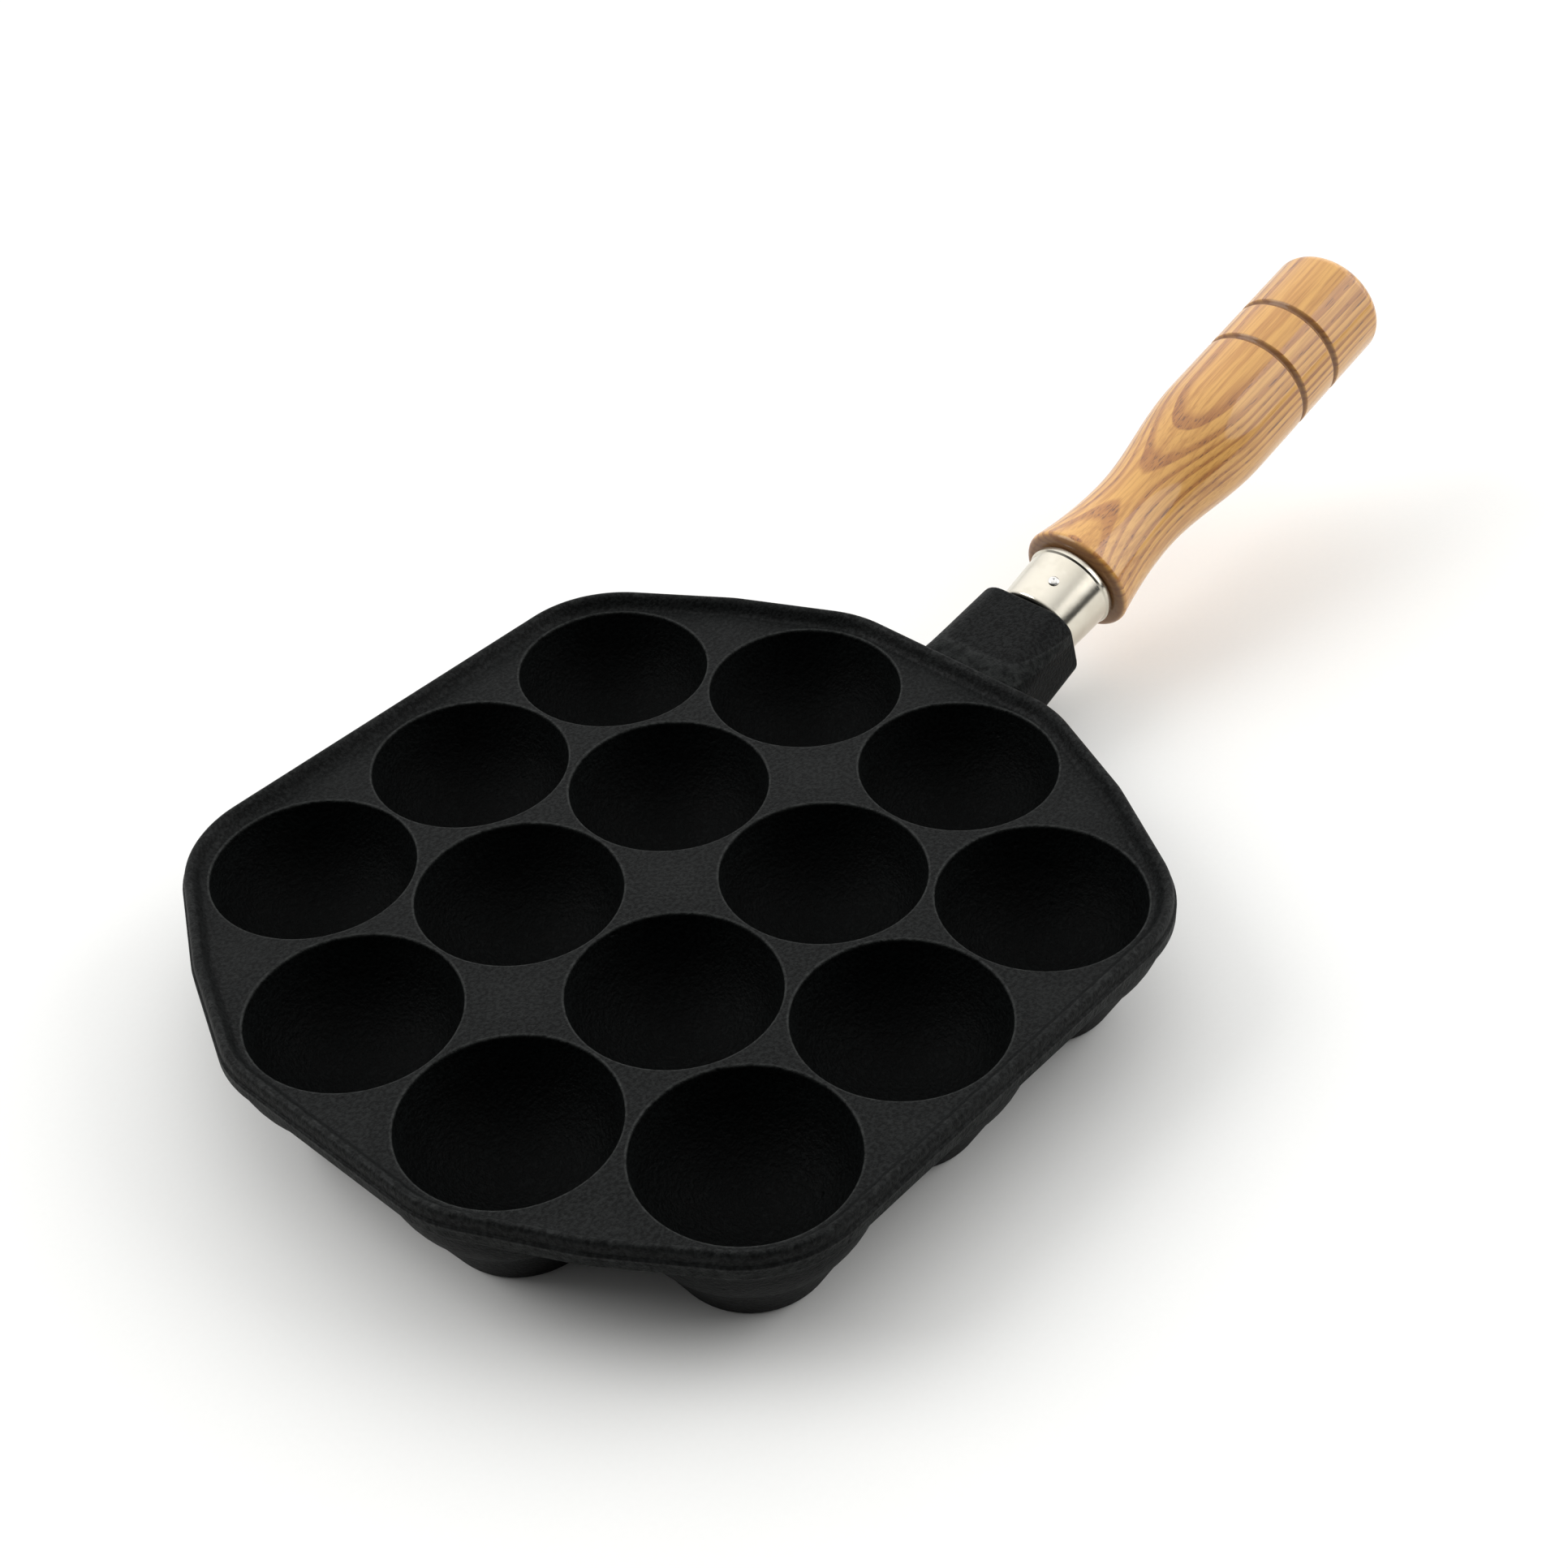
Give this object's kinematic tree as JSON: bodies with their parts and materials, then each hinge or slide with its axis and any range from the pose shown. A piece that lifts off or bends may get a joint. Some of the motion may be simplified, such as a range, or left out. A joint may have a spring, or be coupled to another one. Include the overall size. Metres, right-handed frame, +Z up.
{
  "type": "takoyaki pan",
  "caption": "Cast iron pan with half-round cups for batter balls, a raised rim and a turned wooden handle held by a through bolt.",
  "frame": {"origin": "on the plane of the cups' flat feet, below the middle of the whole length", "axes": "+X along the handle, away from the pan; +Z up, out of the cups"},
  "size_m": [0.3178, 0.1636, 0.0635],
  "materials": {
    "cast_iron": "satin black, fine sand-cast grain",
    "lacquered_wood": "light oak, clear gloss lacquer, burnt grooves",
    "bright_steel": "bright polished steel",
    "pin_steel": "bright steel",
    "bolt_steel": "zinc-plated steel",
    "zinc_steel": "zinc-plated steel",
    "spring_steel": "zinc-plated spring steel"
  },
  "bodies": {
    "pan": {"takoyaki_pan_casting": "cast_iron"},
    "handle": {"wooden_grip": "lacquered_wood", "ferrule": "bright_steel", "ferrule_pin": "pin_steel", "flat_washer": "zinc_steel", "spring_washer": "spring_steel"},
    "bolt": {"handle_bolt": "bolt_steel"}
  },
  "joints": [
    {"name": "handle_slide", "type": "slide", "parent": "pan", "child": "handle", "axis": [0.967, 0, 0.2546], "range_m": [0, 0.016]},
    {"name": "bolt_turn", "type": "hinge", "parent": "handle", "child": "bolt", "pos_m": [0.01464, 0, 0.0139], "axis": [0.967, 0, 0.2546], "range_deg": [0, 4610]}
  ],
  "couplings": [
    {"joint": "bolt_turn", "follows": "handle_slide", "rad_per_m": 5026.5}
  ]
}
